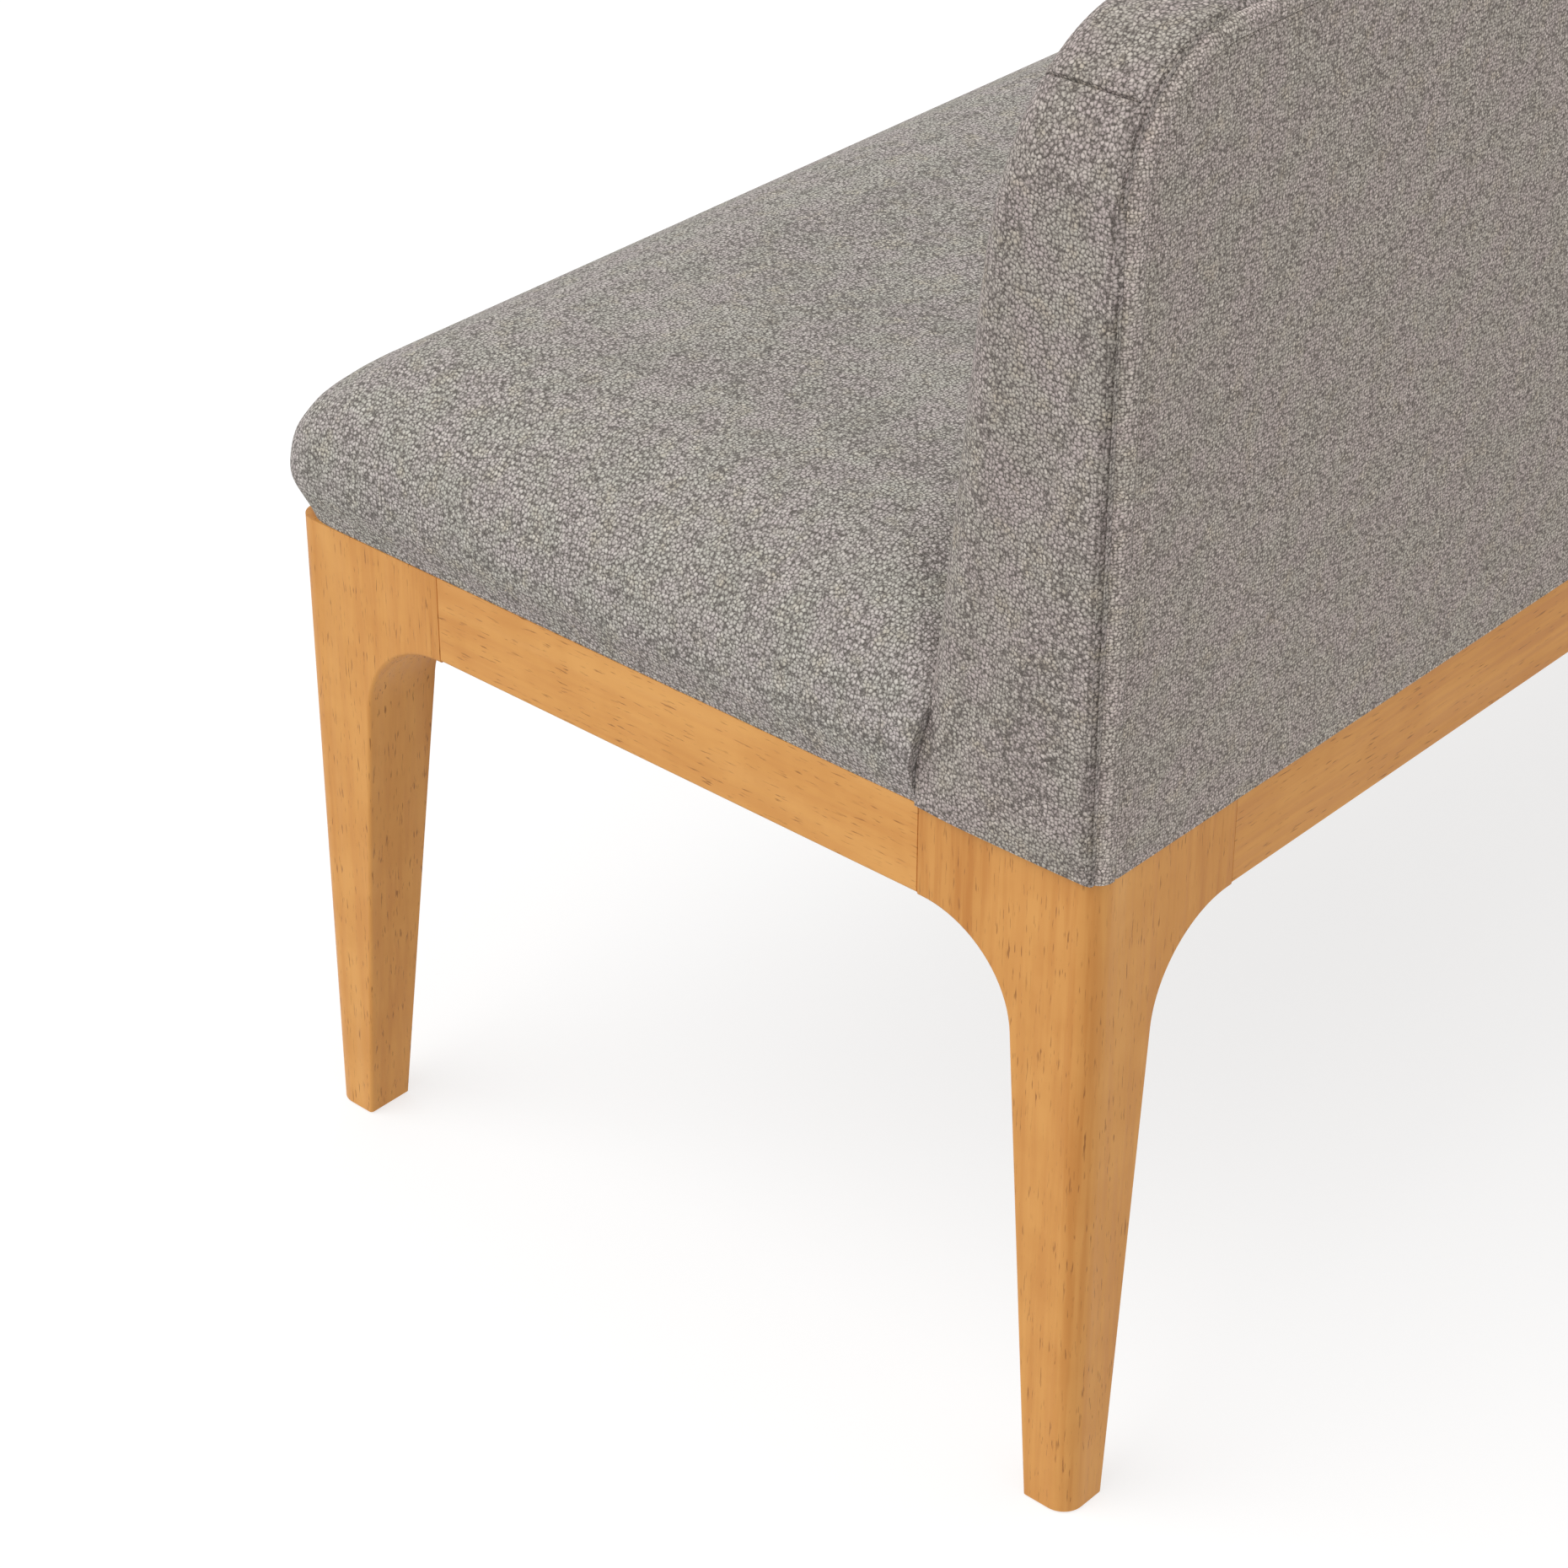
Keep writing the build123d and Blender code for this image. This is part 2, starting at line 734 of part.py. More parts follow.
def post_screw_places():
    """Screws through each post into the back's bottom and top rails: head seats and direction."""
    heights = (rail_top + back_board_width / 2, back_top - back_frame_cover - back_board_width / 2)
    seat_y = post_front + screw_head_height
    return [
        (Vector(x + sign * long_screw_spacing / 2, seat_y, height), Vector(0, 1, 0))
        for x in post_places().values()
        for height in heights
        for sign in (-1, 1)
    ]


def screw_head_room(seat, direction):
    start = seat - direction * screw_head_height
    return rod(start, direction, screw_head_diameter / 2 + screw_clearance, screw_head_height)


def post_bolt_places():
    """The washer seats on the front of the posts, two to each post."""
    height = rail_top - back_post_drop / 2
    return [
        Vector(x, post_front, height + sign * bolt_spacing / 2)
        for x in post_places().values()
        for sign in (-1, 1)
    ]


def post_bolt(seat):
    rearwards = Vector(0, 1, 0)
    under_head = seat - rearwards * washer_thickness
    head_plane = Plane(origin=under_head - rearwards * bolt_head_height, z_dir=(0, 1, 0))
    head = extrude(head_plane * RegularPolygon(bolt_head_diameter / 2, 6), amount=bolt_head_height)
    shank_length = washer_thickness + back_post_thickness + bolt_reach
    return head + rod(under_head, rearwards, bolt_diameter / 2, shank_length)


def post_washer(seat):
    rearwards = Vector(0, 1, 0)
    start = seat - rearwards * washer_thickness
    disc = rod(start, rearwards, washer_diameter / 2, washer_thickness)
    return disc - rod(start, rearwards, bolt_diameter / 2 + bolt_clearance, washer_thickness)


def rail_insert(seat):
    """A threaded sleeve set into the inner face of the rear rail."""
    rearwards = Vector(0, 1, 0)
    start = seat + rearwards * back_post_thickness
    sleeve = rod(start, rearwards, insert_diameter / 2, insert_length)
    return sleeve - rod(start, rearwards, bolt_diameter / 2 + bolt_clearance, insert_length)


def post_bolt_hole(seat):
    return rod(seat, Vector(0, 1, 0), bolt_diameter / 2 + bolt_clearance, back_post_thickness)


def rail_insert_hole(seat):
    start = seat + Vector(0, 1, 0) * back_post_thickness
    return rod(start, Vector(0, 1, 0), insert_diameter / 2 + bolt_clearance, insert_length)


def back_board():
    """The thin board on the front of the posts that the foam is glued to."""
    frame_plate = extrude(back_outline(back_frame_cover, rail_top + cloth_thickness), amount=back_depth)
    board_room = block((-frame_length, frame_length), (back_pad_rear, post_front), (0, 2 * back_top))
    return frame_plate & board_room


# Put the pieces together
frame_sites = frame_dowel_sites()
frame_holes = dowel_holes(frame_sites)
seat_sites = seat_frame_dowel_sites()
seat_holes = dowel_holes(seat_sites)
back_sites = back_frame_dowel_sites()
back_holes = dowel_holes(back_sites)
bracket_places = bracket_sites()
bracket_screws = [place for site in bracket_places for place in bracket_screw_places(*site)]
bracket_screw_holes = [screw_hole(seat, direction, screw_length) for seat, direction in bracket_screws]
post_screws = post_screw_places()
post_screw_holes = [screw_hole(seat, direction, long_screw_length) for seat, direction in post_screws]
post_screw_rooms = [screw_head_room(seat, direction) for seat, direction in post_screws]
bolt_seats = post_bolt_places()
bolt_holes = [post_bolt_hole(seat) for seat in bolt_seats]
insert_holes = [rail_insert_hole(seat) for seat in bolt_seats]

nodes = {}
plain_leg = leg()
for end_name, side_x in (("left", -1), ("right", 1)):
    for row_name, side_y in (("front", -1), ("rear", 1)):
        nodes["leg_" + row_name + "_" + end_name] = cut(place_leg(plain_leg, side_x, side_y), frame_holes)
nodes["foot_glides"] = group(
    rod((side_x * (half_length - leg_foot_width / 2), y, 0), (0, 0, 1), glide_diameter / 2, glide_thickness)
    for side_x in (-1, 1)
    for y in (front_face + leg_foot_width / 2, rear_face - leg_foot_width / 2)
)
nodes["rail_front"] = cut(rail_along_x(front_face, 1), frame_holes + bracket_screw_holes)
nodes["rail_rear"] = cut(rail_along_x(rear_face, -1), frame_holes + insert_holes)
nodes["rail_left"] = cut(rail_along_y(-half_length, 1), frame_holes + bracket_screw_holes)
nodes["rail_right"] = cut(rail_along_y(half_length, -1), frame_holes + bracket_screw_holes)
nodes["cross_rail_left"] = cut(cross_rail(-1), frame_holes + bracket_screw_holes)
nodes["cross_rail_right"] = cut(cross_rail(1), frame_holes + bracket_screw_holes)
nodes["frame_dowels"] = group(dowels(frame_sites))

for name, board in seat_frame_boards().items():
    nodes[name] = cut(board, seat_holes + bracket_screw_holes)
nodes["seat_frame_dowels"] = group(dowels(seat_sites))
nodes["seat_webbing"] = group(seat_webbing())
nodes["seat_foam"] = seat_foam()
nodes["seat_wadding"] = seat_wadding()
nodes["seat_cover"] = seat_cover()
nodes["dust_cover"] = cut(dust_cover(), bracket_screw_holes)
nodes["dust_cover_staples"] = group(dust_cover_staples())
nodes["seat_brackets"] = group(bracket(*site) for site in bracket_places)
nodes["bracket_screws"] = group(screw(seat, direction, screw_length) for seat, direction in bracket_screws)

for name, board in back_frame_boards().items():
    nodes[name] = cut(board, back_holes + post_screw_holes)
nodes["back_frame_dowels"] = group(dowels(back_sites))
for name, x in post_places().items():
    nodes[name] = cut(post(x), post_screw_holes + post_screw_rooms + bolt_holes)
nodes["post_screws"] = group(screw(seat, direction, long_screw_length) for seat, direction in post_screws)
nodes["post_bolts"] = group(post_bolt(seat) for seat in bolt_seats)
nodes["post_washers"] = group(post_washer(seat) for seat in bolt_seats)
nodes["rail_inserts"] = group(rail_insert(seat) for seat in bolt_seats)
nodes["back_board"] = back_board()
nodes["back_foam"] = back_foam()
nodes["back_edge_foam"] = back_edge_foam()
nodes["back_cover"] = back_cover()
nodes["outside_back_panel"] = outside_back_panel()

os.makedirs("parts", exist_ok=True)
for name, shape in nodes.items():
    export_step(shape, "parts/" + name + ".step")
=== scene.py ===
from math import cos, hypot, pi, radians, sin

import bmesh
import bpy
import numpy as np
from mathutils import Matrix, Vector, noise


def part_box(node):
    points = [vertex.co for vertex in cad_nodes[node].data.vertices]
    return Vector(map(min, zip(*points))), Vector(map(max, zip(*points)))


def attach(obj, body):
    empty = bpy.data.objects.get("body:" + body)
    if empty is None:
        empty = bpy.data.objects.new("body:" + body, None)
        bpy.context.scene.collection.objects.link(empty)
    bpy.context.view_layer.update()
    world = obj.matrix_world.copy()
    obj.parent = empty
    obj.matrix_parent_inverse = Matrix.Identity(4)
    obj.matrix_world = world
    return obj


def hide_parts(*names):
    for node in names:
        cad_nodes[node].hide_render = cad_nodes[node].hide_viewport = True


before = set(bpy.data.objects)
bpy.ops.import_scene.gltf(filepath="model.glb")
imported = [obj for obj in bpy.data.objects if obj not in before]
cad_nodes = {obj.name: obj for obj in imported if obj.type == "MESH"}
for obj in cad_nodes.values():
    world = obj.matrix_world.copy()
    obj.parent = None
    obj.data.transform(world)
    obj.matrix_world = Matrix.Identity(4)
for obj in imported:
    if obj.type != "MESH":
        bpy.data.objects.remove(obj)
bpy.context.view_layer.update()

bpy.ops.object.select_all(action="DESELECT")


# Legs and rails: honey-coloured hardwood, sanded and lacquered to a satin finish.
# Each leg is one block with its grain upright, and each rail's grain runs along its length.
# The rails are dowelled to the legs, and each joint shows as a thin line.
def screen_colour(red, green, blue):
    """A colour given as screen values from 0 to 255, turned into the shader's linear colour."""
    shares = [value / 255 for value in (red, green, blue)]
    return (*[s / 12.92 if s < 0.04 else ((s + 0.055) / 1.055) ** 2.4 for s in shares], 1.0)


def new_finish(name):
    """A material with nothing laid on it yet: itself, its nodes and its object coordinates."""
    finish = bpy.data.materials.new(name)
    finish.use_nodes = True
    tree = finish.node_tree
    return finish, tree, tree.nodes.new("ShaderNodeTexCoord").outputs["Object"]


def lay(tree, kind, options=None, **sockets):
    """Add a shader node, set its options, and fill or link its sockets by name."""
    made = tree.nodes.new("ShaderNode" + kind)
    for name, value in (options or {}).items():
        setattr(made, name, value)
    for name, value in sockets.items():
        socket = made.inputs[name.replace("_", " ")]
        if isinstance(value, bpy.types.NodeSocket):
            tree.links.new(value, socket)
        else:
            socket.default_value = value
    return made


def stretched(tree, place, scale):
    return lay(tree, "Mapping", Vector=place, Scale=scale).outputs["Vector"]


def mottle(tree, place, scale, detail=2.0, distortion=0.0):
    made = lay(tree, "TexNoise", Vector=place, Scale=scale, Detail=detail, Distortion=distortion)
    return made.outputs["Fac"]


def spread(tree, value, low, high, to_low=0.0, to_high=1.0):
    made = lay(tree, "MapRange", {"interpolation_type": "SMOOTHSTEP"}, Value=value)
    limits = {"From Min": low, "From Max": high, "To Min": to_low, "To Max": to_high}
    for name, limit in limits.items():
        made.inputs[name].default_value = limit
    return made.outputs["Result"]


def blend_colour(tree, share, first, second, way="MIX"):
    made = tree.nodes.new("ShaderNodeMix")
    made.data_type = "RGBA"
    made.blend_type = way
    for index, value in ((0, share), (6, first), (7, second)):
        if isinstance(value, bpy.types.NodeSocket):
            tree.links.new(value, made.inputs[index])
        else:
            made.inputs[index].default_value = value
    return made.outputs[2]


def combine(tree, operation, first, second):
    made = tree.nodes.new("ShaderNodeMath")
    made.operation = operation
    for index, value in ((0, first), (1, second)):
        if isinstance(value, bpy.types.NodeSocket):
            tree.links.new(value, made.inputs[index])
        else:
            made.inputs[index].default_value = value
    return made.outputs["Value"]


def put_on(tree, colour, roughness, height, depth, strength=1.0):
    """Join a colour, a roughness and a relief to the material's shader."""
    shader = tree.nodes["Principled BSDF"]
    tree.links.new(colour, shader.inputs["Base Color"])
    if isinstance(roughness, bpy.types.NodeSocket):
        tree.links.new(roughness, shader.inputs["Roughness"])
    else:
        shader.inputs["Roughness"].default_value = roughness
    relief = lay(tree, "Bump", Height=height, Distance=depth, Strength=strength)
    tree.links.new(relief.outputs["Normal"], shader.inputs["Normal"])
    return shader


def grained_wood(name, grain, pale, middle, deep, pore):
    """Wood with a soft figure, fine streaks and short dark pores along one axis."""
    finish, tree, place = new_finish(name)
    squeeze = {"x": (0.05, 1, 1), "y": (1, 0.05, 1), "z": (1, 1, 0.05)}[grain]
    pore_squeeze = {"x": (0.1, 1, 1), "y": (1, 0.1, 1), "z": (1, 1, 0.1)}[grain]
    fibres = stretched(tree, place, squeeze)
    short_fibres = stretched(tree, place, pore_squeeze)
    figure = mottle(tree, fibres, 26, 3, 0.5)
    colour = blend_colour(tree, spread(tree, figure, 0.28, 0.55), deep, middle)
    colour = blend_colour(tree, spread(tree, figure, 0.5, 0.74), colour, pale)
    streaks = spread(tree, mottle(tree, fibres, 210, 3), 0.36, 0.62, 0.0, 0.45)
    colour = blend_colour(tree, streaks, colour, pale)
    cloud = spread(tree, mottle(tree, place, 34, 3), 0.35, 0.7, 0.0, 0.3)
    colour = blend_colour(tree, cloud, colour, deep)
    pores = spread(tree, mottle(tree, short_fibres, 820, 2), 0.6, 0.7, 0.0, 0.7)
    scarce = spread(tree, mottle(tree, place, 60, 2), 0.38, 0.62, 0.25, 1.0)
    pores = combine(tree, "MULTIPLY", pores, scarce)
    colour = blend_colour(tree, pores, colour, pore)
    roughness = spread(tree, streaks, 0.0, 0.45, 0.45, 0.55)
    height = combine(tree, "SUBTRACT", streaks, pores)
    shader = put_on(tree, colour, roughness, height, 0.0002, 0.5)
    shader.inputs["Specular IOR Level"].default_value = 0.3
    return finish


def honey_hardwood(name, grain):
    return grained_wood(
        name,
        grain,
        screen_colour(231, 171, 97),
        screen_colour(218, 153, 80),
        screen_colour(199, 131, 60),
        screen_colour(128, 74, 30),
    )


def dress(finish, *names):
    """Give CAD pieces a finish."""
    for name in names:
        for slot in cad_nodes[name].material_slots:
            slot.material = finish


leg_names = [f"leg_{row}_{end}" for row in ("front", "rear") for end in ("left", "right")]
dress(honey_hardwood("hardwood_upright", "z"), *leg_names)
dress(honey_hardwood("hardwood_along_length", "x"), "rail_front", "rail_rear")
dress(honey_hardwood("hardwood_along_depth", "y"), "rail_left", "rail_right")

# Cross rails and dowels: plain pale timber inside the base, with beech dowels glued in each joint.
# None of it is lacquered, so it is paler and duller than the legs.
def pale_timber(name, grain):
    return grained_wood(
        name,
        grain,
        screen_colour(229, 205, 163),
        screen_colour(214, 186, 140),
        screen_colour(192, 160, 112),
        screen_colour(142, 108, 70),
    )


timber_along_length = pale_timber("timber_along_length", "x")
timber_along_depth = pale_timber("timber_along_depth", "y")
timber_upright = pale_timber("timber_upright", "z")
dress(timber_along_depth, "cross_rail_left", "cross_rail_right")
dress(pale_timber("beech_dowel", "x"), "frame_dowels", "seat_frame_dowels", "back_frame_dowels")


# Foot glides: round pads of dark nylon pressed into the foot of each leg.
# They are moulded, with a slightly matt face that the floor has rubbed.
def moulded_nylon(name):
    finish, tree, place = new_finish(name)
    rubbed = mottle(tree, place, 420, 3)
    colour = blend_colour(
        tree, spread(tree, rubbed, 0.4, 0.7), screen_colour(66, 58, 52), screen_colour(92, 82, 74)
    )
    put_on(tree, colour, spread(tree, rubbed, 0.3, 0.7, 0.45, 0.62), rubbed, 0.00008, 0.4)
    return finish


dress(moulded_nylon("moulded_nylon"), "foot_glides")

# Seat frame: six pale boards dowelled flat, which carry the seat's filling.
# The front and rear boards run the whole length, with the ends and middles between them.
dress(timber_along_length, "seat_frame_front", "seat_frame_rear")
dress(
    timber_along_depth,
    "seat_frame_end_left",
    "seat_frame_end_right",
    "seat_frame_middle_left",
    "seat_frame_middle_right",
)


# Seat webbing: black elastic bands, woven in ribs, stretched from the front board to the rear board.
# They are tacked side by side and the foam lies on them.
def ribbed_webbing(name):
    finish, tree, place = new_finish(name)
    ribs = lay(tree, "TexWave", {"bands_direction": "X"}, Vector=place, Scale=120, Distortion=0.6)
    picks = lay(tree, "TexWave", {"bands_direction": "Y"}, Vector=place, Scale=260, Distortion=0.4)
    weave = combine(tree, "MULTIPLY", ribs.outputs["Fac"], picks.outputs["Fac"])
    colour = blend_colour(tree, weave, screen_colour(24, 24, 26), screen_colour(66, 64, 66))
    put_on(tree, colour, 0.85, weave, 0.0005, 0.7)
    return finish


dress(ribbed_webbing("ribbed_webbing"), "seat_webbing")


# Seat cushion: foam on the webbing, a wrap of wadding, and one nubby cloth drawn tight over both.
# The cloth shows no seams. It is pulled down all round, turned under the seat frame and stapled.
# It bulges a little past the wood, has a big round shoulder and a low crown.
def nubby_cloth(name, nub_size, disorder, painted_light_tint):
    """A bulky weave of grey-beige looped yarn: rounded nubs, painted shade that darkens each nub from
    its top down into the gaps, drifts of faint colour, and a tint of painted light.
    """
    finish, tree, place = new_finish(name)
    wander = lay(tree, "TexNoise", Vector=place, Scale=300.0, Detail=1.0).outputs["Color"]
    wander = lay(tree, "VectorMath", {"operation": "SCALE"}, Vector=wander, Scale=0.0018)
    shifted = lay(tree, "VectorMath", {"operation": "ADD"})
    tree.links.new(place, shifted.inputs[0])
    tree.links.new(wander.outputs["Vector"], shifted.inputs[1])
    nubs = {"Vector": shifted.outputs["Vector"], "Scale": 1 / nub_size, "Randomness": disorder}
    nearest = lay(tree, "TexVoronoi", {"feature": "F1"}, **nubs)
    second = lay(tree, "TexVoronoi", {"feature": "F2"}, **nubs)
    gap = combine(tree, "SUBTRACT", second.outputs["Distance"], nearest.outputs["Distance"])
    hump = spread(tree, nearest.outputs["Distance"], 0.15, 0.85, 0.4, 0.0)
    dome = combine(tree, "ADD", hump, spread(tree, gap, 0.0, 0.8, 0.0, 0.6))
    fibre = combine(tree, "SUBTRACT", mottle(tree, place, 1100, 2), 0.5)
    yarn = combine(tree, "ADD", dome, fibre)
    light = blend_colour(
        tree,
        spread(tree, mottle(tree, place, 40, 2), 0.38, 0.62),
        screen_colour(188, 177, 175),
        screen_colour(183, 179, 170),
    )
    warm = spread(tree, mottle(tree, place, 80, 2), 0.52, 0.75, 0.0, 0.6)
    light = blend_colour(tree, warm, light, screen_colour(193, 181, 163))
    chance = lay(tree, "SeparateColor", Color=nearest.outputs["Color"])
    pale = spread(tree, chance.outputs["Red"], 0.3, 1.0, 0.0, 0.5)
    light = blend_colour(tree, pale, light, screen_colour(212, 205, 198))
    dull = spread(tree, chance.outputs["Green"], 0.35, 1.0, 0.0, 0.4)
    light = blend_colour(tree, dull, light, screen_colour(146, 138, 133))
    # Painted shade: the yarn's colour darkens with the height of the weave, from each nub's top down to
    # a dark brown in the gaps between nubs.
    colour = blend_colour(tree, spread(tree, yarn, -0.15, 0.75), screen_colour(86, 80, 76), light)
    # The tint multiplies painted light into the cloth's colour, a different amount for each cover.
    colour = blend_colour(tree, 1.0, colour, (*painted_light_tint, 1.0), "MULTIPLY")
    shader = put_on(tree, colour, 0.92, yarn, 0.001, 0.7)
    shader.inputs["Specular IOR Level"].default_value = 0.2
    shader.inputs["Sheen Weight"].default_value = 0.1
    shader.inputs["Sheen Roughness"].default_value = 0.5
    return finish


def pick(test):
    """Select only the vertices whose place passes a test."""
    shape = bmesh.from_edit_mesh(bpy.context.object.data)
    for vertex in shape.verts:
        vertex.select_set(test(vertex.co))
    shape.select_flush_mode()
    bmesh.update_edit_mesh(bpy.context.object.data)


def start_piece(name):
    """An empty mesh to model in, open in edit mode with vertices to pick."""
    bpy.ops.object.select_all(action="DESELECT")
    piece = bpy.data.objects.new(name, bpy.data.meshes.new(name))
    bpy.context.scene.collection.objects.link(piece)
    bpy.context.view_layer.objects.active = piece
    piece.select_set(True)
    bpy.ops.object.mode_set(mode="EDIT")
    bpy.ops.mesh.select_mode(type="VERT")
    return piece


def close_sections():
    """Bridge the outlines one to the next, close both ends and turn the faces outwards."""
    bpy.ops.mesh.select_all(action="SELECT")
    bpy.ops.mesh.bridge_edge_loops()
    bpy.ops.mesh.select_all(action="SELECT")
    bpy.ops.mesh.fill_holes(sides=0)
    bpy.ops.mesh.select_all(action="SELECT")
    bpy.ops.mesh.normals_make_consistent(inside=False)
    bpy.ops.object.mode_set(mode="OBJECT")


def shoulder(power, angles):
    """Steps over a padded edge: the share of its reach inwards and the share of its rise."""
    turns = [radians(angle) for angle in angles]
    return [(1 - cos(turn) ** (2 / power), sin(turn) ** (2 / power)) for turn in turns]


def apply_modifier(piece, kind, **settings):
    modifier = piece.modifiers.new(kind.lower(), kind)
    for name, value in settings.items():
        setattr(modifier, name, value)
    bpy.context.view_layer.objects.active = piece
    bpy.ops.object.modifier_apply(modifier=modifier.name)


def vertex_places(piece):
    places = np.empty(len(piece.data.vertices) * 3)
    piece.data.vertices.foreach_get("co", places)
    return places.reshape(-1, 3)


def fill_cover(piece, is_held, travel, unevenness):
    """Swell a cover with its filling by cloth simulation, each point kept near its normal.
    """
    piece.data.remesh_voxel_size = 0.006
    bpy.ops.object.voxel_remesh()
    apply_modifier(piece, "SMOOTH", factor=0.5, iterations=5)
    rest = vertex_places(piece)
    normals = np.empty(len(rest) * 3)
    piece.data.vertices.foreach_get("normal", normals)
    normals = normals.reshape(-1, 3)
    most = np.array([travel + unevenness * noise.noise(Vector(place) * 9.0) for place in rest])
    held = piece.vertex_groups.new(name="held")
    held.add([index for index, place in enumerate(rest) if is_held(place)], 1.0, "REPLACE")
    cloth = piece.modifiers.new("cloth", "CLOTH")
    cloth.settings.use_pressure = True
    cloth.settings.uniform_pressure_force = 4
    cloth.settings.vertex_group_mass = held.name
    cloth.settings.effector_weights.gravity = 0
    cloth.point_cache.frame_end = 20
    for step in range(1, 21):
        bpy.context.scene.frame_set(step)
    bpy.ops.object.modifier_apply(modifier="cloth")
    bpy.context.scene.frame_set(1)
    outward = np.sum((vertex_places(piece) - rest) * normals, axis=1)
    piece.vertex_groups.clear()
    swell = normals * np.clip(outward, -0.0003, most)[:, None]
    piece.data.vertices.foreach_set("co", (rest + swell).ravel())
    piece.data.update()
    apply_modifier(piece, "SMOOTH", factor=0.5, iterations=3)
    apply_modifier(piece, "SUBSURF", levels=1, render_levels=1)


def trim(piece, point, normal):
    """Cut a piece flat on a plane, throw away what lies behind it, and close the cut."""
    bpy.context.view_layer.objects.active = piece
    bpy.ops.object.mode_set(mode="EDIT")
    bpy.ops.mesh.select_all(action="SELECT")
    bpy.ops.mesh.bisect(plane_co=point, plane_no=normal, use_fill=True, clear_inner=True)
    bpy.ops.object.mode_set(mode="OBJECT")


def hollow_out(piece, low, high, corner_edges, corner):
    """Take a box, with some of its edges rounded, out of a piece."""
    bpy.ops.object.select_all(action="DESELECT")
    middle = (Vector(low) + Vector(high)) / 2
    bpy.ops.mesh.primitive_cube_add(size=1, location=middle)
    room = bpy.context.object
    bpy.ops.object.transform_apply(location=True, rotation=True, scale=True)
    bpy.ops.object.mode_set(mode="EDIT")
    bpy.ops.transform.resize(value=Vector(high) - Vector(low), center_override=middle)
    bpy.ops.mesh.select_mode(type="EDGE")
    shape = bmesh.from_edit_mesh(room.data)
    for edge in shape.edges:
        edge.select_set(corner_edges(edge.verts[0].co, edge.verts[1].co))
    bmesh.update_edit_mesh(room.data)
    bpy.ops.mesh.bevel(offset=corner, segments=8, affect="EDGES")
    bpy.ops.object.mode_set(mode="OBJECT")
    apply_modifier(piece, "BOOLEAN", object=room, operation="DIFFERENCE", solver="EXACT")
    bpy.data.objects.remove(room)


def cover_with(piece, finish):
    """Smooth a soft piece's faces and give it its cloth."""
    bpy.ops.object.select_all(action="DESELECT")
    piece.select_set(True)
    bpy.context.view_layer.objects.active = piece
    bpy.ops.object.shade_smooth_by_angle(angle=radians(45))
    piece.data.materials.clear()
    piece.data.materials.append(finish)
    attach(piece, "root")


rail_top = 0.380
seat_half_length = 0.700
seat_front_y = -0.264
seat_rear_y = 0.1645
seat_bulge_level = 0.404
seat_top = 0.481
seat_end_bulge = 0.008
seat_front_bulge = 0.010
seat_tuck = 0.001
seat_reach = 0.120
seat_rear_reach = 0.080
seat_travel = 0.003
below_cut = 0.008
behind_cut = 0.020
seat_edge_power = 2.5
seat_front_corner = 0.022
seat_rear_corner = 0.006
corner_growth = 0.35
seat_unevenness = 0.0012
held_foot = 0.002
held_rear = 0.014
corner_press = 0.006
corner_start_x = 0.640
corner_full_x = 0.690
corner_start_z = 0.402
corner_full_z = 0.445


def seat_outline(level, end, front, rear, front_corner, rear_corner):
    """One level of the cushion: a flat outline with rounded corners, left as an open loop."""
    low_y = seat_front_y - front
    high_y = seat_rear_y - rear
    middle = (0, (low_y + high_y) / 2, level)
    spans = (2 * (seat_half_length + end), high_y - low_y, 1)
    bpy.ops.mesh.primitive_plane_add(size=1, location=middle)
    bpy.ops.transform.resize(value=spans, center_override=middle)
    here = lambda place: abs(place.z - level) < 1e-6
    pick(lambda place: here(place) and place.y < middle[1])
    bpy.ops.mesh.bevel(offset=front_corner, segments=8, affect="VERTICES")
    pick(lambda place: here(place) and place.y > high_y - 1e-6)
    bpy.ops.mesh.bevel(offset=rear_corner, segments=3, affect="VERTICES")
    pick(here)
    bpy.ops.mesh.delete(type="ONLY_FACE")


seat_cushion = start_piece("seat_cushion")
for level in (rail_top - below_cut, rail_top):
    seat_outline(level, -seat_tuck, -seat_tuck, -behind_cut, seat_front_corner, seat_rear_corner)
for across, up in shoulder(seat_edge_power, (0, 14, 28, 42, 56, 68, 79, 90)):
    inward = seat_reach * across
    seat_outline(
        seat_bulge_level + (seat_top - seat_travel - seat_bulge_level) * up,
        seat_end_bulge - inward,
        seat_front_bulge - inward,
        seat_rear_reach * across - behind_cut * (1 - up),
        seat_front_corner + corner_growth * inward,
        seat_rear_corner + corner_growth * seat_rear_reach * across,
    )
close_sections()
fill_cover(
    seat_cushion,
    lambda place: place[2] < rail_top + held_foot or place[1] > seat_rear_y + held_rear,
    seat_travel,
    seat_unevenness,
)
trim(seat_cushion, (0, 0, rail_top), (0, 0, 1))
for vertex in seat_cushion.data.vertices:
    into_corner = (abs(vertex.co.x) - corner_start_x) / (corner_full_x - corner_start_x)
    risen = (vertex.co.z - corner_start_z) / (corner_full_z - corner_start_z)
    press = min(max(into_corner, 0), 1) * min(max(risen, 0), 1)
    vertex.co.y = min(vertex.co.y, seat_rear_y + corner_press * press)
frame_room_low = (-0.692, -0.256, 0.382)
frame_room_high = (0.692, 0.1565, 0.409)
frame_room_corner = 0.021
under_room_low = (-0.674, -0.238, 0.370)
under_room_high = (0.674, 0.1395, 0.3825)
under_room_corner = 0.004


def upright_in_front(first, second):
    """Whether an edge with these two ends stands upright in the front half of the seat."""
    return abs(first.z - second.z) > 0.001 and first.y < 0


hollow_out(seat_cushion, frame_room_low, frame_room_high, upright_in_front, frame_room_corner)
hollow_out(seat_cushion, under_room_low, under_room_high, upright_in_front, under_room_corner)
